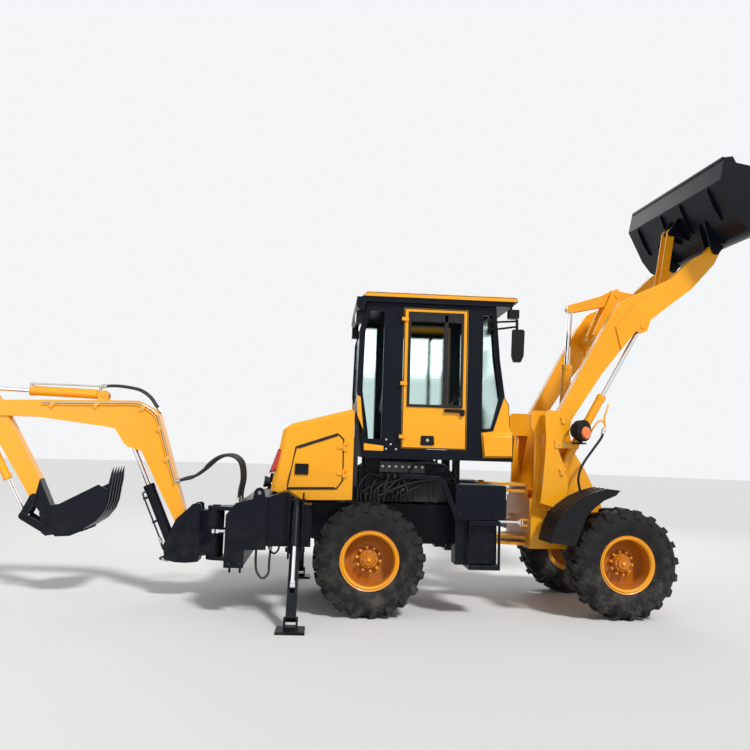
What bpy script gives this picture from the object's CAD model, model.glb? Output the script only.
# %% [markdown]
# # A backhoe loader, dressed over its frame
#
# The solids of the machine come in as a fixed frame, in metres, with Z up and X pointing to the loader.
# They already have the right size and place, so this lesson only gives them edges, paint and the
# small pieces that make them read as a real machine. The box of the bare frame is kept for a check
# at the end.

# %% Load the frame
import bpy, bmesh, math
from mathutils import Matrix, Vector


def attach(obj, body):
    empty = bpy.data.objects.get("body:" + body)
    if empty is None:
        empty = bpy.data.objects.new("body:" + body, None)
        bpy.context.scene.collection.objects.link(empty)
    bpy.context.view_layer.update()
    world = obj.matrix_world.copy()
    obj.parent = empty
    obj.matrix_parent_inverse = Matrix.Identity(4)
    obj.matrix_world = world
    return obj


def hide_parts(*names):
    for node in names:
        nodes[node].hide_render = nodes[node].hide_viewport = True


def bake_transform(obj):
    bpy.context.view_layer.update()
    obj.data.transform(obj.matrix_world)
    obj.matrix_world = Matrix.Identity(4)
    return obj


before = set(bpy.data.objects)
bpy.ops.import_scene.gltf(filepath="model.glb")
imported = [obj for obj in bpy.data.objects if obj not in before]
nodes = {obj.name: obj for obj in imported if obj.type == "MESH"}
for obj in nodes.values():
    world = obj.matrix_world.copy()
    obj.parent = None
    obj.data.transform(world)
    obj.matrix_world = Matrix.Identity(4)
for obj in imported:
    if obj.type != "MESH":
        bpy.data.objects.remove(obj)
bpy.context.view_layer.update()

# %% [markdown]
# ## Camera
#
# The picture was taken from standing height, a little to the left of the machine's middle, with the
# camera tipped up and slightly rolled. Its three angles are worked out from known points of the
# machine, which puts every wheel in its place.

# %% Camera
CAMERA_PLACE = (-0.724, -8.163, 1.588)
YAW, PITCH, ROLL = (math.radians(angle) for angle in (3.78, 5.55, 1.77))
SENSOR_WIDTH, LENS = 36, 36.557

def new_object(name, data):
    o = bpy.data.objects.new(name, data)
    bpy.context.scene.collection.objects.link(o)
    return o

ahead = Vector((math.sin(YAW) * math.cos(PITCH), math.cos(YAW) * math.cos(PITCH), math.sin(PITCH)))
level = Vector((math.cos(YAW), -math.sin(YAW), 0))
over = level.cross(ahead)
right = level * math.cos(ROLL) + over * math.sin(ROLL)
up = over * math.cos(ROLL) - level * math.sin(ROLL)
camera_data = bpy.data.cameras.new("camera")
camera_data.sensor_fit = "HORIZONTAL"
camera_data.sensor_width = SENSOR_WIDTH
camera_data.lens = LENS
camera = new_object("camera", camera_data)
camera.matrix_world = Matrix((right, up, -ahead)).transposed().to_4x4()
camera.location = CAMERA_PLACE
bpy.context.scene.camera = camera
bpy.context.scene.view_settings.view_transform = "Standard"
print("camera at", tuple(round(v, 2) for v in camera.location))

# %% [markdown]
# ## Tools for node trees
#
# The sky and all the materials are trees of nodes. These short functions make the nodes that come up
# again and again, so that the recipes below stay readable.

# %% Tools for node trees
def new_material(name):
    material = bpy.data.materials.new(name)
    material.use_nodes = True
    return material, material.node_tree, material.node_tree.nodes["Principled BSDF"]

def set_values(node, values):
    for label, value in values.items():
        node.inputs[label].default_value = value

def set_or_link(tree, value, socket):
    if isinstance(value, (int, float)):
        socket.default_value = value
    else:
        tree.links.new(value, socket)

def math_node(tree, operation, a, b):
    n = tree.nodes.new("ShaderNodeMath")
    n.operation = operation
    set_or_link(tree, a, n.inputs[0])
    set_or_link(tree, b, n.inputs[1])
    return n.outputs[0]

def noise(tree, scale, detail, rough=0.55):
    n = tree.nodes.new("ShaderNodeTexNoise")
    place = tree.nodes.new("ShaderNodeTexCoord")
    tree.links.new(place.outputs["Object"], n.inputs["Vector"])
    set_values(n, {"Detail": detail, "Roughness": rough})
    set_or_link(tree, scale, n.inputs["Scale"])
    return n.outputs["Fac"]

def map_range(tree, value, ends):
    n = tree.nodes.new("ShaderNodeMapRange")
    set_values(n, ends)
    tree.links.new(value, n.inputs["Value"])
    return n

def map_to(tree, value, low, high):
    return map_range(tree, value, {"To Min": low, "To Max": high}).outputs["Result"]

def step_mask(tree, value, low, high):
    n = map_range(tree, value, {"From Min": low, "From Max": high})
    n.interpolation_type = "SMOOTHSTEP"
    return n.outputs["Result"]

print("node tools ready")

# %% [markdown]
# ## Ground
#
# A plain pale floor keeps the eye on the machine. It is one wide disc, so that its rim lies far behind
# everything and reads as a horizon.

# %% Ground
FLOOR_RADIUS, FLOOR_COLOUR, FLOOR_ROUGHNESS = 60, (0.72, 0.72, 0.71, 1), 0.9

bm = bmesh.new()
bmesh.ops.create_circle(bm, cap_ends=True, radius=FLOOR_RADIUS, segments=96)
mesh = bpy.data.meshes.new("floor")
bm.to_mesh(mesh)
bm.free()
floor = new_object("floor", mesh)
material, tree, shader = new_material("floor")
set_values(shader, {"Roughness": FLOOR_ROUGHNESS, "Base Color": FLOOR_COLOUR})
mesh.materials.append(material)
print("made", floor.name)

# %% [markdown]
# ## Light
#
# Soft light comes from a wide sun and from the whole sky, so that black paint still shows its form. The
# sky looks nearly white to the camera, to glass and to polished metal, but as a light it is low enough
# to keep the yellow from clipping.

# %% Sky and lamps
SKY_COLOUR, SKY_AS_LIGHT, SKY_AS_SEEN = (0.97, 0.985, 1.0, 1), 0.40, 0.93
SUN_WIDTH = math.radians(9)

def lamp(name, kind, energy, place, aim, size):
    data = bpy.data.lights.new(name, kind)
    data.energy = energy
    if kind == "SUN":
        data.angle = size
    else:
        data.size = size
    o = new_object(name, data)
    o.location = place
    o.rotation_euler = (Vector(aim) - Vector(place)).to_track_quat("-Z", "Y").to_euler()

world = bpy.data.worlds.new("sky")
bpy.context.scene.world = world
world.use_nodes = True
tree = world.node_tree
back = tree.nodes["Background"]
path = tree.nodes.new("ShaderNodeLightPath").outputs
seen = path["Is Camera Ray"]
for kind in ("Is Glossy Ray", "Is Transmission Ray"):
    seen = math_node(tree, "MAXIMUM", seen, path[kind])
tree.links.new(map_to(tree, seen, SKY_AS_LIGHT, SKY_AS_SEEN), back.inputs["Strength"])
set_values(back, {"Color": SKY_COLOUR})
lamp("sun", "SUN", 2.6, (3.5, -6.5, 8.5), (0, 0, 1), SUN_WIDTH)
lamp("fill", "AREA", 110, (-6.5, -7, 3.2), (-1, 0, 1.3), 5)
lamp("back_light", "AREA", 200, (2, 8, 6), (0, 0, 1.5), 6)
print("sky and", len(bpy.data.lights), "lamps")

# %% [markdown]
# ## Grain, dust and chips
#
# Paint, rubber and bare metal share three effects: grain, dirt and chips. Each is a node group, made
# once and put in every material with its own values. Dust lies where a face looks up, and splashed dirt
# thins out with height. Both are broken into specks by a noise, because an even film would look like
# fog. A chip is a spot where a rough noise climbs over a level.

# %% Node groups
PATCH_SCALE = 1.7
FACING_UP, HEIGHT_OF_SPLASH = (0.55, 1.0), (1.1, 0.1)
SPECK_SCALE, SPECK_RANGE = 9.0, (0.38, 0.72)
CHIP_SCALE, CHIP_LEVEL, CHIP_SPREAD = 30.0, 0.74, 0.3

def new_group(name, ins, outs):
    group = bpy.data.node_groups.new(name, "ShaderNodeTree")
    for way, labels in (("INPUT", ins), ("OUTPUT", outs)):
        for label in labels:
            group.interface.new_socket(label, in_out=way, socket_type="NodeSocketFloat")
    given, out = (group.nodes.new("NodeGroup" + kind) for kind in ("Input", "Output"))
    return group, given.outputs, out.inputs

def split_xyz(tree, kind, output):
    source = tree.nodes.new(kind)
    parts = tree.nodes.new("ShaderNodeSeparateXYZ")
    tree.links.new(source.outputs[output], parts.inputs[0])
    return parts.outputs

g, given, out = new_group("fine_grain", ["Scale"], ["Height", "Patch"])
g.links.new(noise(g, given["Scale"], 2.0), out["Height"])
g.links.new(noise(g, PATCH_SCALE, 4.0), out["Patch"])
GRAIN = g

g, given, out = new_group("settled_dust", ["Top", "Low"], ["Mask"])
facing = split_xyz(g, "ShaderNodeNewGeometry", "Normal")["Z"]
height = split_xyz(g, "ShaderNodeTexCoord", "Object")["Z"]
top = math_node(g, "MULTIPLY", step_mask(g, facing, *FACING_UP), given["Top"])
low = math_node(g, "MULTIPLY", step_mask(g, height, *HEIGHT_OF_SPLASH), given["Low"])
specks = step_mask(g, noise(g, SPECK_SCALE, 6.0, 0.65), *SPECK_RANGE)
g.links.new(math_node(g, "MULTIPLY", math_node(g, "ADD", top, low), specks), out["Mask"])
DUST = g

g, given, out = new_group("paint_chips", ["Amount"], ["Mask"])
spread = math_node(g, "MULTIPLY", given["Amount"], CHIP_SPREAD)
spots = noise(g, CHIP_SCALE, 6.0, 0.7)
level = math_node(g, "SUBTRACT", CHIP_LEVEL, spread)
g.links.new(math_node(g, "GREATER_THAN", spots, level), out["Mask"])
CHIPS = g
print("groups:", [g.name for g in bpy.data.node_groups])

# %% [markdown]
# ## One recipe for paint, rubber and metal
#
# Every coated surface is one recipe with other numbers: a base colour that drifts a little from patch
# to patch, dust mixed in by its mask, a few chips down to the primer, and a bump so fine that it only
# softens the highlights. Clear coat makes the yellow look sprayed.

# %% The recipe
SMOOTHER, ROUGHER, DUST_ROUGHNESS = 0.85, 1.2, 0.9
COAT_ROUGHNESS, BUMP_DEPTH = 0.12, 0.002

def use_group(tree, group, **values):
    n = tree.nodes.new("ShaderNodeGroup")
    n.node_tree = group
    set_values(n, values)
    return n.outputs

def mix_colour(tree, factor, a, b):
    n = tree.nodes.new("ShaderNodeMix")
    n.data_type = "RGBA"
    tree.links.new(factor, n.inputs["Factor"])
    for label, value in (("A", a), ("B", b)):
        socket = [s for s in n.inputs if s.name == label and s.type == "RGBA"][0]
        if isinstance(value, tuple):
            socket.default_value = (*value, 1)
        else:
            tree.links.new(value, socket)
    return [s for s in n.outputs if s.type == "RGBA"][0]

def drift(colour, k):
    return tuple(min(1.0, v * k) for v in colour)

def coated(name, colour, rough, dust, metal=0.0, coat=0.0, chips=0.0, primer=(0.12, 0.10, 0.09),
           grain=380.0, bump=0.12, soil=(0.32, 0.28, 0.22), vary=0.12, gloss=0.5):
    material, tree, shader = new_material(name)
    texture = use_group(tree, GRAIN, Scale=grain)
    dirt = use_group(tree, DUST, Top=dust[0], Low=dust[1])["Mask"]
    base = mix_colour(tree, texture["Patch"], drift(colour, 1 - vary), drift(colour, 1 + vary))
    if chips:
        base = mix_colour(tree, use_group(tree, CHIPS, Amount=chips)["Mask"], base, primer)
    base = mix_colour(tree, dirt, base, soil)
    tree.links.new(base, shader.inputs["Base Color"])
    clean = map_to(tree, texture["Patch"], rough * SMOOTHER, min(1.0, rough * ROUGHER))
    dirty = math_node(tree, "MULTIPLY", dirt, DUST_ROUGHNESS)
    tree.links.new(math_node(tree, "MAXIMUM", clean, dirty), shader.inputs["Roughness"])
    set_values(shader, {"Metallic": metal, "Coat Weight": coat, "Coat Roughness": COAT_ROUGHNESS,
                        "Specular IOR Level": gloss})
    relief = tree.nodes.new("ShaderNodeBump")
    set_values(relief, {"Strength": bump, "Distance": BUMP_DEPTH})
    tree.links.new(texture["Height"], relief.inputs["Height"])
    tree.links.new(relief.outputs["Normal"], shader.inputs["Normal"])
    return material

print("recipe ready")

# %% [markdown]
# ## The finishes
#
# Colours here are linear values, so they look darker as numbers than on screen. After the colour come
# the roughness and the two dust amounts, for top faces and for low places. The edge finishes are the
# same paints a little lighter and more chipped.

# %% Finishes
mats = {
    "yellow": coated("yellow_paint", (0.90, 0.375, 0.002), 0.36, (0.10, 0.16), coat=0.22, gloss=0.42,
                     chips=0.04),
    "yellow_edge": coated("yellow_edge", (0.93, 0.47, 0.04), 0.42, (0.2, 0.3), coat=0.2, chips=0.25),
    "black": coated("black_paint", (0.004, 0.0055, 0.0105), 0.34, (0.03, 0.07), gloss=0.14, chips=0.02,
                    primer=(0.06, 0.05, 0.045)),
    "black_edge": coated("black_edge", (0.014, 0.017, 0.025), 0.36, (0.05, 0.10), gloss=0.25,
                         chips=0.2, primer=(0.10, 0.09, 0.08)),
    "rim": coated("rim_paint", (0.88, 0.36, 0.003), 0.42, (0.12, 0.3), coat=0.12, gloss=0.4,
                 chips=0.10),
    "rim_dish": coated("rim_dish", (0.50, 0.15, 0.003), 0.5, (0.12, 0.3), gloss=0.3, chips=0.10),
    "rubber": coated("tyre_rubber", (0.011, 0.011, 0.012), 0.68, (0.08, 0.30), gloss=0.18, grain=160.0,
                     bump=0.5, soil=(0.22, 0.2, 0.17)),
    "plastic": coated("black_plastic", (0.006, 0.0065, 0.008), 0.48, (0.08, 0.12), gloss=0.18,
                      grain=900.0, bump=0.3),
    "hose": coated("hose_rubber", (0.017, 0.017, 0.019), 0.45, (0.15, 0.25), gloss=0.3, grain=700.0,
                   bump=0.3),
    "seal": coated("door_seal", (0.012, 0.012, 0.013), 0.65, (0.2, 0.2), gloss=0.3, grain=500.0,
                   bump=0.2),
    "engine": coated("cast_engine", (0.05, 0.055, 0.06), 0.55, (0.4, 0.3), metal=0.3, grain=120.0,
                     bump=0.4),
    "chrome": coated("rod_chrome", (0.80, 0.81, 0.83), 0.09, (0.0, 0.05), metal=1.0, grain=60.0,
                     bump=0.01, vary=0.04),
    "steel": coated("zinc_steel", (0.52, 0.51, 0.48), 0.35, (0.2, 0.2), metal=1.0, grain=300.0,
                    bump=0.1),
    "vinyl": coated("seat_vinyl", (0.03, 0.03, 0.033), 0.55, (0.1, 0.0), grain=1200.0, bump=0.5),
    "orange_lens": coated("orange_lens", (0.85, 0.17, 0.01), 0.14, (0.05, 0.0), coat=0.8, bump=0.05),
    "red_lens": coated("red_lens", (0.45, 0.01, 0.01), 0.14, (0.05, 0.0), coat=0.8, bump=0.05),
    "lamp_glass": coated("lamp_glass", (0.72, 0.74, 0.76), 0.08, (0.05, 0.0), metal=0.7, coat=0.9,
                         bump=0.02),
    "mirror_glass": coated("mirror_glass", (0.82, 0.84, 0.86), 0.04, (0.02, 0.0), metal=1.0,
                           bump=0.005),
}
print("finishes:", len(mats))

# %% [markdown]
# ## Cab glass
#
# The panes are thin, slightly green and mostly clear. Full refraction would need many bounces and would
# go dark between two panes, so the pane is partly see-through with little bending of the light. A film
# of dust makes it less clear in patches.

# %% Cab glass
GLASS_COLOUR, GLASS_BEND = (0.62, 0.80, 0.75, 1), 1.1
GLASS_ROUGHNESS, GLASS_COVER = (0.01, 0.07), (0.5, 0.62)

material, tree, shader = new_material("cab_glass")
set_values(shader, {"Base Color": GLASS_COLOUR, "Transmission Weight": 1.0, "IOR": GLASS_BEND})
dirt = use_group(tree, DUST, Top=0.1, Low=0.0)["Mask"]
patch = use_group(tree, GRAIN, Scale=3.0)["Patch"]
tree.links.new(map_to(tree, patch, *GLASS_ROUGHNESS), shader.inputs["Roughness"])
film = math_node(tree, "ADD", patch, dirt)
tree.links.new(map_to(tree, film, *GLASS_COVER), shader.inputs["Alpha"])
mats["glass"] = material
print("glass ready")

# %% [markdown]
# ## Edges and materials for the solids
#
# Solids straight from a CAD program have knife edges, which no welded or bent plate has. Every sharp
# edge gets a small round, whose faces take a lighter, rubbed version of the paint, because edges wear
# first. Weighted normals keep flat plates looking flat beside the round. None of this moves the solid's
# own points.

# %% Dress the solids
SIDES = ((-1, "right"), (1, "left"))

def round_edges(o, width, segments, angle):
    bevel = o.modifiers.new("round", "BEVEL")
    bevel.width, bevel.segments = width, segments
    bevel.limit_method, bevel.angle_limit = "ANGLE", math.radians(angle)
    return bevel

def dress(name, *keys, edge=None, width=0.003, segments=2, angle=32):
    o = nodes[name]
    o.data.materials.clear()
    for k in keys:
        o.data.materials.append(mats[k])
    o.modifiers.new("weld", "WELD").merge_threshold = 0.0001
    bevel = round_edges(o, width, segments, angle)
    if edge:
        o.data.materials.append(mats[edge])
        bevel.material = len(keys)
    o.modifiers.new("normals", "WEIGHTED_NORMAL").weight = 80
    o.data.polygons.foreach_set("use_smooth", [True] * len(o.data.polygons))
    o.data.polygons.foreach_set("material_index", [0] * len(o.data.polygons))
    return o

yellow_nodes = """hood hood_door_right hood_door_left front_frame loader_arms rocker bucket_link
    lift_barrels tilt_barrel boom dipper_barrel hoe_barrel""".split()
black_nodes = """rear_frame rear_axle front_axle backhoe_frame king_bracket rear_fenders steps_and_tank
    loader_bucket swing_post hoe_bucket hoe_guide hoe_link boom_barrel""".split()
for side, word in SIDES:
    black_nodes += [n + word for n in ("leg_", "leg_barrel_", "swing_barrel_", "steer_barrel_")]
for n in yellow_nodes:
    dress(n, "yellow", edge="yellow_edge")
for n in black_nodes:
    dress(n, "black", edge="black_edge")
rods = [n for n in nodes if "_rod" in n]
for n in rods:
    dress(n, "chrome", width=0.0015)
dress("front_fenders", "plastic", edge="black_edge", width=0.004)
dress("mirrors_and_lamps", "plastic", width=0.004)
dress("engine", "engine", width=0.01)
dress("cab_glass", "glass", width=0.0008, segments=1)
dress("cab_interior", "plastic", width=0.012, segments=3)
dress("cab_shell", "black", edge="black_edge", width=0.005)
print("dressed", len(yellow_nodes) + len(black_nodes), "painted solids and", len(rods), "rods")

# %% [markdown]
# ## Places on the machine
#
# The machine was drawn from its rear axle, with the front half turned a little to its left about the
# pivot between the halves. Two small functions give any place in either half.

# %% Places and wheels' axes
REAR_AXLE_X = -0.24
HEADING, PIVOT_X = math.radians(4.2), 1.235
FORWARD = Vector((math.cos(HEADING), math.sin(HEADING), 0))
LEFTWARD = Vector((-math.sin(HEADING), math.cos(HEADING), 0))
WHEEL_Y, AXLE_Z, FRONT_AXLE_X = 0.709, 0.5375, 1.235

def at(x, y, z):
    # metres from the rear axle
    return Vector((x + REAR_AXLE_X, y, z))

def at_front(x, y, z):
    # metres from the pivot, along the front half
    c, s = math.cos(HEADING), math.sin(HEADING)
    return at(PIVOT_X + x * c - y * s, x * s + y * c, z)

wheel_middle, across = {}, {}
for half, place, axle_x, axle in (("rear", at, 0, Vector((0, 1, 0))),
                                  ("front", at_front, FRONT_AXLE_X, LEFTWARD)):
    for side, word in SIDES:
        wheel = "wheel_%s_%s" % (half, word)
        wheel_middle[wheel] = place(axle_x, side * WHEEL_Y, AXLE_Z)
        across[wheel] = axle
print("places of", len(wheel_middle), "wheels")

# %% [markdown]
# ## Two finishes on one solid
#
# A wheel is one solid but two things: a rubber tyre and a painted rim. Each face gets a material slot
# by its distance from the axle, instead of a split of the mesh. The same idea paints the roof lid, the
# doors' panes, the latches of the hood doors and the dipper's last part.

# %% Second finishes
RIM_EDGE, DISH_EDGE, ROOF_LID_LOW = 0.280, 0.238, 3.106
PANE_Y, PANE_SLACK, PANE_X, PANE_Z = 0.602, 0.0045, (0.35, 0.892), (2.03, 2.968)
LATCH_Y, LATCH_X, LATCH_Z = 0.592, (-0.737, -0.653), (1.328, 1.402)
DIPPER_TOP, DIPPER_END, DIPPER_DARK_FROM = at(-3.9, 0, 1.901), at(-3.2895, 0, 0.8608), 0.985

def repaint(o, index, test):
    # gives a material slot to the faces whose middle passes the test
    passed = [p for p in o.data.polygons if test(p.center)]
    for p in passed:
        p.material_index = index
    return len(passed)

def from_axle(point, wheel):
    d = point - wheel_middle[wheel]
    return (d - across[wheel] * d.dot(across[wheel])).length

def within(c, xs, zs):
    return at(xs[0], 0, 0).x < c.x < at(xs[1], 0, 0).x and zs[0] < c.z < zs[1]

for n in wheel_middle:
    wheel = dress(n, "rubber", "rim", "rim_dish", width=0.004, angle=40)
    print(n, "rim faces:", repaint(wheel, 1, lambda c: from_axle(c, n) < RIM_EDGE),
          "dish faces:", repaint(wheel, 2, lambda c: from_axle(c, n) < DISH_EDGE))
roof = dress("cab_roof", "black", "yellow", edge="black_edge", width=0.006, segments=3)
print("roof lid faces:", repaint(roof, 1, lambda c: c.z > ROOF_LID_LOW))
for side, word in SIDES:
    door = dress("cab_door_" + word, "yellow", "glass", edge="yellow_edge", width=0.004)
    print("pane faces:", repaint(door, 1, lambda c: abs(abs(c.y) - PANE_Y) < PANE_SLACK
                                 and within(c, PANE_X, PANE_Z)))
    flap = nodes["hood_door_" + word]
    flap.data.materials.append(mats["plastic"])
    print("latch faces:", repaint(flap, 2, lambda c: abs(c.y) > LATCH_Y
                                  and within(c, LATCH_X, LATCH_Z)))
dipper = dress("dipper", "yellow", "black", edge="yellow_edge")
along = (DIPPER_END - DIPPER_TOP).normalized()
dark = repaint(dipper, 1, lambda c: (c - DIPPER_TOP).dot(along) > DIPPER_DARK_FROM)
print("dipper's dark end:", dark)

# %% [markdown]
# ## Flat forms
#
# Bolts, seals, lamps and hoses are too fine for the frame's solids, so they are built in mesh code.
# Sheets and blocks come from an outline in side view, laid down at two distances from the machine's
# middle and joined up. Each finished mesh gets its materials, a small round on its edges, and the body
# that it moves with.

# %% Helpers for flat forms
def finish_piece(name, bm, body, *keys, slot="plastic", edge=0.0, smooth=38):
    bmesh.ops.recalc_face_normals(bm, faces=bm.faces)
    mesh = bpy.data.meshes.new(name)
    bm.to_mesh(mesh)
    bm.free()
    for k in keys:
        mesh.materials.append(mats[k])
    o = new_object(name, mesh)
    mesh.polygons.foreach_set("use_smooth", [True] * len(mesh.polygons))
    mesh.set_sharp_from_angle(angle=math.radians(smooth))
    if edge:
        round_edges(o, edge, 2, 35)
    if body:
        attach(o, body)
    return o

def prism(bm, ring_a, ring_b, mat=0):
    a = [bm.verts.new(p) for p in ring_a]
    b = [bm.verts.new(p) for p in ring_b]
    faces = [bm.faces.new(a), bm.faces.new(list(reversed(b)))]
    for i in range(len(a)):
        j = (i + 1) % len(a)
        faces.append(bm.faces.new((a[i], b[i], b[j], a[j])))
    for f in faces:
        f.material_index = mat

def rect(x0, z0, x1, z1):
    return [(x0, z0), (x0, z1), (x1, z1), (x1, z0)]

def lay(outline, y, place=at):
    return [place(x, y, z) for x, z in outline]

def plate(bm, outline, y0, y1, place=at, mat=0):
    prism(bm, lay(outline, y0, place), lay(outline, y1, place), mat)

def frame_ring(bm, outer, inner, y0, y1, mat=0):
    # a flat ring between two outlines with the same number of corners
    v = [[bm.verts.new(p) for p in lay(line, y)] for y in (y0, y1) for line in (outer, inner)]
    for i in range(len(outer)):
        j = (i + 1) % len(outer)
        for a, b in ((0, 1), (3, 2), (2, 0), (1, 3)):
            bm.faces.new((v[a][i], v[a][j], v[b][j], v[b][i])).material_index = mat

print("flat forms ready")

# %% [markdown]
# ## Round forms
#
# Everything round starts from points on a circle. A bar joins two circles, and may taper. A bolt is a
# washer with a hexagon on it. A tube is swept along a smooth path through given points.

# %% Helpers for round forms
UP = Vector((0, 0, 1))

def circle(centre, u, w, radius, count, turn=0.0):
    # points round a circle that two directions span, turned by a part of one step
    angles = (2 * math.pi * (k + turn) / count for k in range(count))
    return [centre + (u * math.cos(t) + w * math.sin(t)) * radius for t in angles]

def two_across(direction):
    u = direction.orthogonal().normalized()
    return u, direction.cross(u)

def bar(bm, a, b, radius, sides, mat=0, tip=None):
    u, w = two_across((b - a).normalized())
    end_radius = radius if tip is None else tip
    prism(bm, circle(a, u, w, radius, sides), circle(b, u, w, end_radius, sides), mat)

def bolt(bm, place, out, size, mat=0):
    out = Vector(out).normalized()
    bar(bm, place - out * 0.002, place + out * size * 0.22, size * 1.25, 24, mat)
    bar(bm, place + out * size * 0.2, place + out * size * 0.95, size, 6, mat, tip=size * 0.9)

def smooth_path(points, steps):
    ends = [points[0] * 2 - points[1]] + points + [points[-1] * 2 - points[-2]]
    out = []
    for i in range(1, len(ends) - 2):
        p0, p1, p2, p3 = ends[i - 1:i + 3]
        for k in range(steps):
            t = k / steps
            out.append(0.5 * ((2 * p1) + (p2 - p0) * t + (2 * p0 - 5 * p1 + 4 * p2 - p3) * t * t
                              + (3 * p1 - p0 - 3 * p2 + p3) * t ** 3))
    return out + [points[-1]]

def tube(bm, points, radius, sides=10, mat=0, steps=8):
    path = smooth_path(points, steps)
    side = (path[1] - path[0]).orthogonal().normalized()
    rings = []
    for i, p in enumerate(path):
        d = (path[min(i + 1, len(path) - 1)] - path[max(i - 1, 0)]).normalized()
        side = (side - d * side.dot(d)).normalized()
        rings.append([bm.verts.new(q) for q in circle(p, side, d.cross(side), radius, sides)])
    for a, b in zip(rings, rings[1:]):
        for i in range(sides):
            j = (i + 1) % sides
            bm.faces.new((a[i], a[j], b[j], b[i])).material_index = mat
    bm.faces.new(rings[0]).material_index = mat
    bm.faces.new(list(reversed(rings[-1]))).material_index = mat

print("round forms ready")

# %% [markdown]
# ## Wheel nuts and hubs
#
# Each rim is held to its hub by a ring of nuts on studs, round a domed hub cover. They cost few faces
# and are the first thing the eye looks for inside a dished rim.

# %% Wheel nuts and hubs
STUDS, STUD_RING, HUB_BOLTS, HUB_BOLT_RING = 10, 0.112, 8, 0.071
# steps of the hub cover: foot radius, top radius, foot height, top height, material
HUB_STEPS = ((0.084, 0.080, 0, 0.045, 1), (0.062, 0.055, 0.045, 0.066, 1),
             (0.020, 0.017, 0.066, 0.080, 0))

for name in wheel_middle:
    out = across[name] * (-1 if "right" in name else 1)
    u, w = two_across(out)
    bm = bmesh.new()
    face = wheel_middle[name] + out * 0.012
    for p in circle(face, u, w, STUD_RING, STUDS, turn=0.5):
        bar(bm, p, p + out * 0.020, 0.017, 6, tip=0.015)
        bar(bm, p, p + out * 0.034, 0.0085, 12)
    hub = face + out * 0.004
    for foot, top, low, high, mat in HUB_STEPS:
        bar(bm, hub + out * (low - 0.002), hub + out * high, foot, 40, mat, tip=top)
    for p in circle(hub + out * 0.045, u, w, HUB_BOLT_RING, HUB_BOLTS):
        bolt(bm, p, out, 0.006)
    finish_piece(name + "_nuts", bm, name, "rim", "rim_dish", slot="paint")
print("wheel hardware on", len(wheel_middle), "wheels")

# %% [markdown]
# ## Cab sheets
#
# The cab is black steel. Yellow sheets close its lower front corners and lower rear. They are thin, and
# lie a few millimetres proud of the steel that carries them. The front ones swell out at their foot,
# under a sloping ledge.

# %% Cab sheets
CAB_SIDE_Y = 0.6195
front_sheet = [(1.322, 2.139), (1.366, 2.07), (1.378, 1.86), (1.412, 1.751), (1.412, 1.541),
               (1.118, 1.532), (1.094, 1.78), (1.215, 1.800)]
rear_strip = [(-0.158, 2.117), (-0.122, 2.099), (-0.086, 1.772), (-0.150, 1.919)]
rear_low = [(-0.075, 1.643), (0.127, 1.621), (0.13, 1.572), (-0.075, 1.574)]
corner = [(0.12, 1.566), (0.27, 1.566), (0.27, 1.66), (0.20, 1.71), (0.12, 1.71)]
swell_foot = [(1.098, 1.786), (1.117, 1.535), (1.411, 1.544), (1.411, 1.800)]
swell_face = [(1.108, 1.742), (1.127, 1.550), (1.400, 1.558), (1.400, 1.752)]

for side, word in SIDES:
    bm = bmesh.new()
    for outline in (front_sheet, rear_strip, rear_low):
        plate(bm, outline, side * CAB_SIDE_Y, side * 0.627)
    prism(bm, lay(swell_foot, side * 0.6255), lay(swell_face, side * 0.672))
    finish_piece("cab_sheet_" + word, bm, "rear_frame", "yellow", slot="paint", edge=0.003)
    bm = bmesh.new()
    plate(bm, corner, side * CAB_SIDE_Y, side * 0.629)
    for x, z in ((0.145, 1.592), (0.245, 1.592), (0.145, 1.685), (0.19, 1.64)):
        bolt(bm, at(x, side * 0.629, z), (0, side, 0), 0.009, 1)
    finish_piece("cab_corner_" + word, bm, "rear_frame", "black", "steel", slot="frame", edge=0.002)
print("cab sheets made")

# %% [markdown]
# ## Door trim
#
# Each door has a black frame round its pane with a sliding window's bars, a moulded handle over its
# recess, a lock plate, and a thin seal round the whole leaf.

# %% Door trim
DOOR_Y = 0.6185
window_bars = (rect(0.704, 2.040, 0.742, 2.955), rect(0.362, 2.880, 0.880, 2.955))
handle = [(0.712, 1.978), (0.716, 2.004), (0.915, 2.004), (0.922, 1.990), (0.918, 1.944),
          (0.880, 1.940), (0.872, 1.978)]
recess_outer = [(0.735, 1.965), (0.912, 1.965), (0.905, 1.85), (0.80, 1.836)]
recess_inner = [(0.747, 1.957), (0.903, 1.957), (0.896, 1.858), (0.805, 1.846)]
lock = [(0.485, 1.652), (0.492, 1.735), (0.618, 1.735), (0.625, 1.652), (0.612, 1.64), (0.498, 1.64)]

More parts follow.
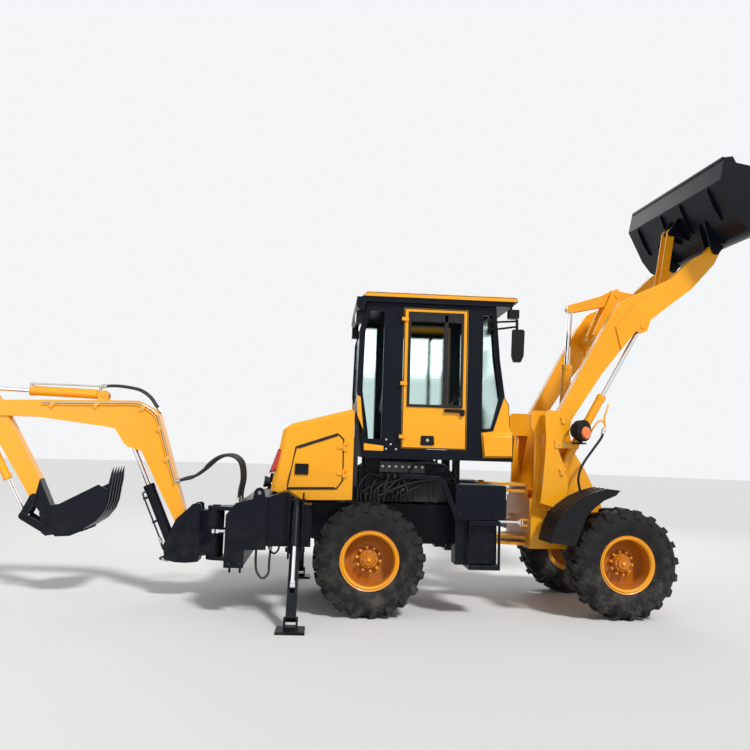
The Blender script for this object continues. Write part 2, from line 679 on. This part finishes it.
for side, word in SIDES:
    body, inner_y = "cab_door_" + word, side * DOOR_Y
    bm = bmesh.new()
    frame_ring(bm, rect(0.338, 2.018, 0.902, 2.978), rect(0.366, 2.046, 0.874, 2.950),
               inner_y, side * 0.631)
    for outline in window_bars:
        plate(bm, outline, side * 0.608, side * 0.628)
    finish_piece("door_frame_" + word, bm, body, "seal", edge=0.003)
    bm = bmesh.new()
    plate(bm, handle, inner_y, side * 0.652)
    bar(bm, at(0.726, side * 0.63, 1.990), at(0.88, side * 0.63, 1.990), 0.017, 16)
    frame_ring(bm, recess_outer, recess_inner, inner_y, side * 0.6235, mat=1)
    finish_piece("door_handle_" + word, bm, body, "plastic", "yellow_edge", edge=0.003)
    bm = bmesh.new()
    plate(bm, lock, inner_y, side * 0.630)
    bar(bm, at(0.555, side * 0.628, 1.69), at(0.555, side * 0.636, 1.69), 0.016, 24, 1)
    finish_piece("door_lock_" + word, bm, body, "plastic", "steel", edge=0.002)
    bm = bmesh.new()
    frame_ring(bm, rect(0.298, 1.608, 0.942, 3.012), rect(0.306, 1.616, 0.934, 3.004),
               inner_y, side * 0.6225)
    finish_piece("door_seal_" + word, bm, body, "seal")
bm = bmesh.new()
plate(bm, rect(1.4195, 1.56, 1.427, 1.80), -0.60, 0.60)
finish_piece("cab_front_sheet", bm, "rear_frame", "yellow", slot="paint", edge=0.002)
print("door trim and the sheet under the windscreen made")

# %% [markdown]
# ## Hood trim
#
# A rubber strip fills the gap between hood and cab, and a seal runs round each hood door. The latch is
# moulded black plastic. The tail lamps sit in the hood's rear corners.

# %% Hood trim
HOOD_Y = 0.5885
hood_door = [(-0.736, 1.581), (-0.331, 1.721), (-0.275, 1.670), (-0.271, 1.273), (-0.331, 1.189),
             (-0.806, 1.176)]
seal_lips = ([(-0.741, 1.592), (-0.335, 1.734), (-0.331, 1.706), (-0.715, 1.570)],
             [(-0.812, 1.172), (-0.335, 1.184), (-0.350, 1.204), (-0.800, 1.192)])
strip = [(-0.170, 1.22), (-0.170, 1.93), (-0.128, 1.94), (-0.128, 1.22)]
tail_lamp = [(-0.918, 1.547), (-0.880, 1.548), (-0.932, 1.35), (-0.990, 1.335)]

def scaled(outline, k):
    cx = sum(x for x, z in outline) / len(outline)
    cz = sum(z for x, z in outline) / len(outline)
    return [(cx + (x - cx) * k, cz + (z - cz) * k) for x, z in outline]

for side, word in SIDES:
    bm = bmesh.new()
    frame_ring(bm, scaled(hood_door, 1.035), scaled(hood_door, 1.004), side * HOOD_Y, side * 0.5955)
    for outline in seal_lips:
        plate(bm, outline, side * HOOD_Y, side * 0.5975)
    finish_piece("hood_seal_" + word, bm, "rear_frame", "seal")
    bm = bmesh.new()
    frame_ring(bm, rect(-0.742, 1.318, -0.610, 1.424), rect(-0.722, 1.338, -0.630, 1.404),
               side * 0.5905, side * 0.606)
    plate(bm, rect(-0.724, 1.336, -0.628, 1.406), side * 0.5905, side * 0.600)
    finish_piece("hood_latch_" + word, bm, "hood_door_" + word, "plastic", edge=0.003)
    bm = bmesh.new()
    plate(bm, strip, side * 0.560, side * 0.592)
    finish_piece("hood_strip_" + word, bm, "rear_frame", "seal", edge=0.006)
    bm = bmesh.new()
    plate(bm, scaled(tail_lamp, 1.1), side * 0.50, side * 0.566)
    plate(bm, tail_lamp, side * 0.50, side * 0.574, mat=1)
    finish_piece("tail_lamp_" + word, bm, "rear_frame", "plastic", "red_lens", edge=0.004)
print("hood trim and tail lamps made")

# %% [markdown]
# ## Lamps and mirrors
#
# A working lamp is a metal bowl behind clear glass. From a step away one sees a bright disc in a dark
# rim, so a polished face with a clear coat stands in for the bowl. The mirror's face is the same idea
# with no tint.

# %% Lamps and mirrors
WORK_LAMP_RADIUS = 0.055

def round_lamp(name, centre, out, radius):
    bm = bmesh.new()
    bar(bm, centre - out * 0.05, centre, radius * 0.78, 32, tip=radius)
    bar(bm, centre, centre + out * 0.010, radius, 32)
    bar(bm, centre + out * 0.008, centre + out * 0.016, radius * 0.86, 32, 1, tip=radius * 0.74)
    finish_piece(name, bm, "rear_frame", "plastic", "lamp_glass")

def square_face(x, y0, y1, z0, z1):
    # the four corners of a lamp's face that looks along the machine
    return [at(x, y0, z0), at(x, y1, z0), at(x, y1, z1), at(x, y0, z1)]

for side, word in SIDES:
    round_lamp("work_lamp_" + word, at(-1.035, side * 0.50, 1.235),
               Vector((-1, side * 0.12, 0.1)).normalized(), WORK_LAMP_RADIUS)
    bm = bmesh.new()
    plate(bm, rect(1.349, 2.494, 1.445, 2.784), side * 0.822, side * 0.8195)
    finish_piece("mirror_face_" + word, bm, "rear_frame", "mirror_glass", slot="glass")
    bm = bmesh.new()
    prism(bm, square_face(1.459, side * 0.575, side * 0.645, 2.962, 3.024),
          square_face(1.454, side * 0.570, side * 0.650, 2.957, 3.029))
    finish_piece("lamp_face_" + word, bm, "rear_frame", "lamp_glass", slot="glass")
    bm = bmesh.new()
    y0, y1 = sorted((side * 0.49, side * 0.61))
    plate(bm, [(-0.190, 2.850), (-0.190, 2.970), (-0.118, 2.970), (-0.112, 2.850)], y0, y1)
    plate(bm, rect(-0.125, 2.880, -0.085, 2.930), y0 + 0.03, y1 - 0.03)
    prism(bm, square_face(-0.189, y0 + 0.008, y1 - 0.008, 2.858, 2.962),
          square_face(-0.196, y0 + 0.013, y1 - 0.013, 2.863, 2.957), 1)
    finish_piece("rear_lamp_" + word, bm, "rear_frame", "plastic", "lamp_glass", edge=0.004)
print("lamps and mirror faces made")

# %% [markdown]
# ## Turn signals and the loader tower
#
# Each side of the tower carries a deep round housing with an orange lens that looks out to the side
# and forward. It is a lathe form: short rings of slightly different radius, stacked along one line.
# Bolt heads hold its bracket, and the pins of the arms are kept by small bolted plates.

# %% Signals and tower bolts
SIGNAL_X, SIGNAL_Y, SIGNAL_Z, SIGNAL_FORWARD = 0.850, 0.628, 1.838, 0.55
tower_pins = ((0.710, 1.930), (0.700, 1.400))
hinge_bolts = ((0.50, 1.02), (0.56, 1.02), (0.62, 1.02), (0.575, 0.96), (0.635, 0.955))

for side, word in SIDES:
    out = LEFTWARD * side
    mid = at_front(SIGNAL_X, side * SIGNAL_Y, SIGNAL_Z)
    aim = (out + FORWARD * SIGNAL_FORWARD).normalized()
    bm = bmesh.new()
    bar(bm, mid - aim * 0.075, mid - aim * 0.03, 0.075, 36, tip=0.100)
    bar(bm, mid - aim * 0.032, mid + aim * 0.050, 0.104, 36, tip=0.110)
    bar(bm, mid + aim * 0.048, mid + aim * 0.052, 0.096, 36)
    lens = mid + aim * 0.05 + FORWARD * 0.012 - UP * 0.022
    bar(bm, lens, lens + aim * 0.022, 0.066, 32, 1, tip=0.056)
    bar(bm, mid - UP * 0.13, mid - UP * 0.08, 0.022, 16)
    plate(bm, rect(0.80, 1.700, 0.90, 1.716), side * 0.526, side * 0.660, at_front)
    for x in (0.66, 0.72):
        bolt(bm, at_front(x, side * 0.534, 1.690), out, 0.010, 2)
    finish_piece("turn_signal_" + word, bm, "front_frame", "plastic", "orange_lens", "steel",
                 edge=0.003)
    bm = bmesh.new()
    for x, z in tower_pins:
        for dx in (-0.024, 0.024):
            bolt(bm, at_front(x + dx, side * 0.532, z + 0.033), out, 0.009)
        bar(bm, at_front(x, side * 0.536, z), at_front(x, side * 0.541, z), 0.012, 16)
    for x, z in hinge_bolts:
        bolt(bm, at_front(x, side * 0.402, z), out, 0.012)
    finish_piece("tower_bolts_" + word, bm, "front_frame", "yellow_edge", slot="paint")
print("signals and tower bolts made")

# %% [markdown]
# ## Pipes on the boom
#
# Oil reaches the far cylinders through steel pipes clamped along the boom, because a bent pipe can't
# chafe. The path is given in the boom's own measures, so the pipes stay on its edge whatever angle it
# stands at.

# %% Boom pipes and clamps
BOOM_TURN, BOOM_FOOT_X, BOOM_FOOT_Z = math.radians(150.2), -1.890, 0.750
PIPE_GAP, PIPE_RADIUS = 0.030, 0.0075
pipe_line = ((0.295, -0.325), (0.455, -0.470), (0.62, -0.622), (0.80, -0.788), (0.852, -0.820),
             (0.93, -0.828), (1.07, -0.812), (1.30, -0.672), (1.62, -0.478), (1.90, -0.312))
clamps = ((0.500, -0.498), (0.74, -0.718), (1.00, -0.807), (1.42, -0.585), (1.80, -0.358))

def on_boom(u, y, w):
    # metres along the boom and across it, from its foot
    c, s = math.cos(BOOM_TURN), math.sin(BOOM_TURN)
    return at(BOOM_FOOT_X + u * c - w * s, y, BOOM_FOOT_Z + u * s + w * c)

bm = bmesh.new()
for side, word in SIDES:
    for k, gap in enumerate((0.0, PIPE_GAP)):
        # past the bend the two pipes lie a little closer
        tube(bm, [on_boom(u, side * 0.0925, w + gap * (0.8 if u > 0.9 else 1.0)) for u, w in pipe_line],
             PIPE_RADIUS, mat=k)
finish_piece("boom_pipes", bm, "boom", "steel", "yellow", slot="paint")
bm = bmesh.new()
for side, word in SIDES:
    for u, w in clamps:
        plate(bm, rect(u - 0.02, w - 0.016, u + 0.02, w + 0.044), side * 0.084, side * 0.104, on_boom)
        bolt(bm, on_boom(u, side * 0.104, w + 0.014), (0, side, 0), 0.008, 1)
finish_piece("boom_pipe_clamps", bm, "boom", "yellow", "steel", slot="paint", edge=0.003)
print("boom pipes and", 2 * len(clamps), "clamps made")

# %% [markdown]
# ## Hoses over the swing joint
#
# Where two parts turn against each other the oil goes through rubber hose. A hose keeps its length, so
# it stands in an arch when the parts are close together. Each hose is one tube along a smooth path, and
# it bends between the two bodies that it joins.

# %% Hoses over the swing joint
ARCH_RADIUS, ARCH_MIDDLE_X, ARCH_MIDDLE_Z = 0.0135, -1.48, 1.25
arch_line = ((-1.690, 1.318), (-1.655, 1.365), (-1.593, 1.423), (-1.523, 1.462), (-1.441, 1.475),
             (-1.367, 1.448), (-1.318, 1.380), (-1.300, 1.246), (-1.318, 1.12), (-1.324, 1.00))
# each arch: its distance from the middle, and how much larger it is than the line above
arches = ((-0.165, 0.0), (-0.130, 0.035), (0.132, 0.012), (0.168, 0.038))

def hose(name, pts, radius, body_a, body_b=None, start_fitting=True, end_fitting=True):
    bm = bmesh.new()
    tube(bm, pts, radius, 12, steps=10)
    for fitted, p, q in ((start_fitting, pts[0], pts[1]), (end_fitting, pts[-1], pts[-2])):
        if fitted:
            d = (q - p).normalized()
            bar(bm, p - d * 0.012, p + d * 0.05, radius * 1.35, 16, 1)
            bar(bm, p, p + d * 0.018, radius * 1.7, 6, 1)
    o = finish_piece(name, bm, None if body_b else body_a, "hose", "steel")
    if body_b:
        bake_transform(o)

for k, (y, larger) in enumerate(arches):
    pts = [at(ARCH_MIDDLE_X + (x - ARCH_MIDDLE_X) * (1 + larger), y,
              ARCH_MIDDLE_Z + (z - ARCH_MIDDLE_Z) * (1 + larger)) for x, z in arch_line]
    pts[0] = at(-1.690, y, 1.318 + 0.008 * k)
    pts[-1] = at(-1.324, y * 1.1, 1.00)
    hose("hose_arch_%d" % k, pts, ARCH_RADIUS, "swing_post", "rear_frame", start_fitting=False)
    tail = [on_boom(0.300, y * 0.48, -0.340), at(-1.90, y * 0.62, 1.212 + 0.005 * k),
            at(-1.80, y * 0.86, 1.240 + 0.006 * k), pts[0]]
    hose("hose_tail_%d" % k, tail, ARCH_RADIUS, "boom", "swing_post", end_fitting=False)
print("hoses over the swing joint:", 2 * len(arches))

# %% [markdown]
# ## Pipes and hoses of the digging arm
#
# Two hoses cross from the boom to the dipper's cylinder, and a steel pipe leads on to its far end. The
# boom's cylinder has the same pair. A place beside it is given by the distances along its barrel and
# out from it.

# %% Pipes and hoses of the digging arm
BARREL_FOOT, BARREL_TOP = Vector((-1.98, 0, 0.49)), Vector((-2.47, 0, 1.58))
over_line = ((-2.180, 1.905), (-2.236, 1.965), (-2.300, 2.050), (-2.400, 2.118), (-2.520, 2.146),
             (-2.66, 2.158), (-2.80, 2.150))
leg_loop = ((-1.063, 0.670), (-1.066, 0.515), (-1.050, 0.41), (-0.997, 0.355), (-0.945, 0.40),
            (-0.940, 0.499), (-0.93, 0.67))

def by_barrel(t, off, y):
    barrel = (BARREL_TOP - BARREL_FOOT).normalized()
    p = BARREL_FOOT + barrel * t + Vector((-barrel.z, 0, barrel.x)) * off
    return at(p.x, y, p.z)

for k, y in enumerate((-0.05, 0.0)):
    hose("dipper_hose_%d" % k, [at(x, y, z + 0.012 * k) for x, z in over_line], 0.012, "boom",
         "dipper_barrel")
bm = bmesh.new()
tube(bm, [at(-2.80, -0.05, 2.150), at(-2.83, -0.045, 2.152), at(-3.20, -0.04, 2.156),
          at(-3.50, -0.04, 2.156), at(-3.53, -0.03, 2.145), at(-3.535, -0.02, 2.12)], 0.009)
for x in (-2.82, -3.52):
    bar(bm, at(x, -0.03, 2.10), at(x, -0.03, 2.166), 0.016, 16)
finish_piece("dipper_cylinder_pipe", bm, "dipper_barrel", "steel", slot="paint")
bm = bmesh.new()
tube(bm, [by_barrel(0.66, 0.05, -0.035), by_barrel(0.655, 0.078, -0.04), by_barrel(0.60, 0.082, -0.04),
          by_barrel(0.30, 0.082, -0.04), by_barrel(0.16, 0.082, -0.04)], 0.009)
for t in (0.60, 0.34):
    bar(bm, by_barrel(t, 0.05, -0.04), by_barrel(t, 0.094, -0.04), 0.013, 12)
finish_piece("boom_cylinder_pipe", bm, "boom_barrel", "black_edge", slot="frame")
hose("boom_cylinder_hose", [by_barrel(0.16, 0.082, -0.04), by_barrel(0.06, 0.086, -0.05),
                            by_barrel(-0.02, 0.070, -0.06), at(-2.10, -0.075, 0.405),
                            at(-2.03, -0.085, 0.392)], 0.012, "boom_barrel", "swing_post")
for side, word in SIDES:
    hose("leg_hose_" + word, lay(leg_loop, side * 0.84), 0.0115, "rear_frame")
print("pipes and hoses of the digging arm made")

# %% [markdown]
# ## Hoses of the loader
#
# The lift cylinders are fed by a hose that rises beside the tower, and by two bent steel pipes on the
# barrel. Each point has its own distance from the middle, because the hose swings out round the pin.

# %% Hoses of the loader
lift_hose = ((0.965, 0.470, 1.10), (0.905, 0.500, 1.22), (0.872, 0.530, 1.36), (0.92, 0.530, 1.50),
             (1.03, 0.530, 1.655), (1.12, 0.530, 1.78), (1.150, 0.515, 1.86))
lift_pipes = (((1.150, 0.515, 1.86), (1.165, 0.512, 1.91), (1.120, 0.510, 1.955), (1.060, 0.500, 1.90),
               (1.010, 0.482, 1.80)),
              ((1.165, 0.512, 1.91), (1.160, 0.512, 1.99), (1.190, 0.508, 2.07), (1.215, 0.485, 2.13)))

for side, word in SIDES:
    hose("lift_hose_" + word, [at_front(x, side * y, z) for x, y, z in lift_hose], 0.013,
         "front_frame", "lift_barrel")
    bm = bmesh.new()
    for line in lift_pipes:
        tube(bm, [at_front(x, side * y, z) for x, y, z in line], 0.009)
    finish_piece("lift_pipe_" + word, bm, "lift_barrel", "yellow", slot="paint")
print("hoses and pipes of the lift cylinders made")

# %% [markdown]
# ## Grab rail, steps and bolts
#
# The driver climbs two steps and pulls on a bent tube above the rear fender. The treads are rows of
# short raised bars, which keep a muddy boot from slipping. Teeth cut in the step itself would cost many
# more faces.

# %% Rails, treads and bolts
TREADS_ON_STEP, TREAD_START_X, TREAD_STEP = 9, 0.985, 0.029
rail_line = ((0.345, 1.335), (0.37, 1.385), (0.425, 1.452), (0.50, 1.463), (0.66, 1.458),
             (0.732, 1.435), (0.80, 1.33), (0.835, 1.262))
beam_bolts = ((-1.30, 0.50), (-1.20, 0.50))
tank_bolts = ((0.85, 1.0), (0.85, 1.22), (1.20, 1.0), (1.20, 1.22))

def flat_square(x0, x1, y0, y1, z):
    return [at(x0, y0, z), at(x0, y1, z), at(x1, y1, z), at(x1, y0, z)]

for side, word in SIDES:
    bm = bmesh.new()
    tube(bm, lay(rail_line, side * 0.72), 0.0125, 12)
    finish_piece("grab_rail_" + word, bm, "rear_frame", "black", slot="frame")
    bm = bmesh.new()
    y0, y1 = sorted((side * 0.845, side * 0.70))
    for z in (0.498, 0.918):
        for k in range(TREADS_ON_STEP):
            x = TREAD_START_X + k * TREAD_STEP
            prism(bm, flat_square(x, x + 0.012, y0, y1, z - 0.030),
                  flat_square(x + 0.002, x + 0.010, y0, y1, z + 0.006))
    finish_piece("step_treads_" + word, bm, "rear_frame", "black_edge", slot="frame")
    bm = bmesh.new()
    for places, y, size in ((beam_bolts, 0.960, 0.013), (tank_bolts, 0.848, 0.009)):
        for x, z in places:
            bolt(bm, at(x, side * y, z), (0, side, 0), size)
    finish_piece("side_bolts_" + word, bm, "rear_frame", "black_edge", slot="frame")
print("rails, treads and bolts made")

# %% [markdown]
# ## Drive under the cab
#
# Between the hood and the steps one looks past the frame at the transmission and the control valve,
# which don't move. A cast housing with ribs and a valve block with its row of spool caps give the dark,
# busy gap that the real machine has there.

# %% Drive under the cab
COVER_X, COVER_Z, BOLTS, BOLT_RING = 0.28, 1.24, 10, 0.09
SPOOLS, SPOOL_START_X, SPOOL_STEP = 7, 0.13, 0.067
housing = [(-0.10, 1.06), (-0.10, 1.40), (0.06, 1.50), (0.66, 1.50), (0.90, 1.36), (0.90, 1.06)]

bm = bmesh.new()
plate(bm, housing, -0.26, 0.26)
for x in (0.0, 0.16, 0.32, 0.48, 0.64, 0.80):
    rib_top = 1.47 if 0.05 < x < 0.7 else 1.38
    plate(bm, rect(x, 1.07, x + 0.022, rib_top), -0.285, 0.285)
for side, word in SIDES:
    bar(bm, at(COVER_X, side * 0.25, COVER_Z), at(COVER_X, side * 0.34, COVER_Z), 0.13, 36, tip=0.11)
    for p in circle(at(COVER_X, side * 0.339, COVER_Z), Vector((1, 0, 0)), UP, BOLT_RING, BOLTS):
        bolt(bm, p, (0, side, 0), 0.009, 1)
finish_piece("transmission", bm, "rear_frame", "engine", "steel", slot="engine", edge=0.008)
bm = bmesh.new()
plate(bm, rect(0.10, 1.36, 0.56, 1.47), -0.46, -0.34)
for k in range(SPOOLS):
    x = SPOOL_START_X + k * SPOOL_STEP
    bar(bm, at(x, -0.40, 1.35), at(x, -0.40, 1.30), 0.022, 16, tip=0.018)
    bar(bm, at(x, -0.455, 1.42), at(x, -0.475, 1.42), 0.017, 6, 1)
finish_piece("control_valve", bm, "rear_frame", "engine", "steel", slot="engine", edge=0.004)
print("transmission and a valve with", SPOOLS, "spools made")

# %% [markdown]
# ## The bundle of hoses
#
# A bundle looks right when no two hoses run alike. The start, end, sag and thickness step through short
# cycles of different length, so the mix repeats only after many hoses. Three in four lie on the near
# side, where they are seen.

# %% Hose bundle
BUNDLE = 24

bm = bmesh.new()
for k in range(BUNDLE):
    side = -1 if k % 4 else 1
    x0, x1 = -0.12 + 0.045 * (k % 13), 0.12 + 0.062 * ((k * 5) % 13)
    y0 = side * (0.36 + 0.014 * (k % 7))
    y1 = y0 - side * 0.02
    sag = 1.13 + 0.03 * (k % 5)
    tube(bm, [at(x0, y0, 1.06), at(x0 + 0.02, y0, sag),
              at((x0 + x1) / 2, y1, sag + 0.10 + 0.02 * (k % 3)),
              at(x1, y1, 1.30 + 0.01 * (k % 4)), at(x1 + 0.01, side * 0.40, 1.37),
              at(x1 + 0.01, side * 0.38, 1.50)], 0.011 + 0.002 * (k % 2))
finish_piece("hose_bundle", bm, "rear_frame", "hose")
print("a bundle of", BUNDLE, "hoses")

# %% [markdown]
# ## Seat
#
# Behind the glass stands the operator's seat. The cushions are foam under vinyl: closed, crowned forms
# whose sides pull in between their corners, with two sewn channels. They are shaped point by point from
# a fine grid.

# %% Seat cushions
GRID_CUTS, SIDE_PULL, CORNER_ROUND, EDGE_DROP = 11, 0.05, 0.06, 0.28
CROWN, CHANNELS, CHANNEL_DEPTH, CHANNEL_WIDTH = 0.25, (-0.45, 0.45), 0.16, 0.07

def pad_form(name, middle, size, lean):
    # a box grid, two units on a side, is pushed out to a soft form and then scaled
    bm = bmesh.new()
    bmesh.ops.create_cube(bm, size=2)
    bmesh.ops.subdivide_edges(bm, edges=bm.edges[:], cuts=GRID_CUTS, use_grid_fill=True)
    turn = Matrix.Rotation(lean, 3, "Y")
    for v in bm.verts:
        x, y, z = v.co
        pull = 1 - SIDE_PULL * (1 - x * x) * abs(y) ** 3 - SIDE_PULL * (1 - y * y) * abs(x) ** 3
        spread = pull * (1 - CORNER_ROUND * (abs(x) ** 6 + abs(y) ** 6) * abs(z))
        h = z * (1 - EDGE_DROP * max(abs(x), abs(y)) ** 5)
        if z > 0.5:
            h += CROWN * (1 - x * x) * (1 - y * y)
            for c in CHANNELS:
                h -= CHANNEL_DEPTH * math.exp(-((y - c) / CHANNEL_WIDTH) ** 2)
        v.co = middle + turn @ Vector((x * size[0] * spread, y * size[1] * spread, h * size[2]))
    o = finish_piece(name, bm, "rear_frame", "vinyl", smooth=180)
    soft = o.modifiers.new("soft", "SUBSURF")
    soft.levels = soft.render_levels = 1

pad_form("seat_cushion", at(0.48, 0, 1.915), (0.235, 0.225, 0.05), 0)
pad_form("seat_back", at(0.215, 0, 2.26), (0.30, 0.215, 0.055), math.radians(-80))
print("seat cushion and back made")

# %% [markdown]
# ## Console, steering wheel and levers
#
# A pedestal carries the seat, and a second one the steering wheel with the loader's levers beside it.
# These pieces take the place of the plain block that stood for the inside of the cab.

# %% Console, wheel and levers
WHEEL_CENTRE, WHEEL_TILT = at(1.0, 0, 2.25), Matrix.Rotation(math.radians(-60), 3, "Y")
WHEEL_RING, SPOKE_LENGTH, SPOKES, RING_STEPS = 0.185, 0.18, 3, 48
seat_base = [(0.34, 1.562), (0.36, 1.60), (0.37, 1.80), (0.33, 1.855), (0.64, 1.855), (0.60, 1.80),
             (0.61, 1.60), (0.63, 1.562)]
console = [(1.085, 1.562), (1.02, 2.170), (1.080, 2.195), (1.290, 1.562)]
levers = (-0.12, -0.06, 0.06, 0.12)

bm = bmesh.new()
plate(bm, seat_base, -0.165, 0.165)
plate(bm, console, -0.145, 0.145)
base_piece = finish_piece("seat_base_and_console", bm, "rear_frame", "plastic", edge=0.012)
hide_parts("cab_interior")
bm = bmesh.new()
wheel_x, wheel_y, wheel_up = (WHEEL_TILT @ Vector(v) for v in ((1, 0, 0), (0, 1, 0), (0, 0, 1)))
ring = circle(WHEEL_CENTRE, wheel_x, wheel_y, WHEEL_RING, RING_STEPS)
tube(bm, ring + ring[:1], 0.0135, 12, steps=1)
for tip in circle(WHEEL_CENTRE, wheel_x, wheel_y, SPOKE_LENGTH, SPOKES):
    bar(bm, WHEEL_CENTRE, tip, 0.011, 10)
bar(bm, WHEEL_CENTRE - wheel_up * 0.03, WHEEL_CENTRE + wheel_up * 0.012, 0.045, 24)
bar(bm, at(1.045, 0, 2.16), WHEEL_CENTRE, 0.022, 16)
finish_piece("steering_wheel", bm, "rear_frame", "plastic")
bm = bmesh.new()
for y in levers:
    bar(bm, at(1.10, y, 2.10), at(1.04, y, 2.33), 0.007, 10, 1)
    bar(bm, at(1.045, y, 2.31), at(1.030, y, 2.37), 0.017, 16, tip=0.012)
finish_piece("hand_levers", bm, "rear_frame", "plastic", "steel")
print("console, steering wheel and", len(levers), "levers made")
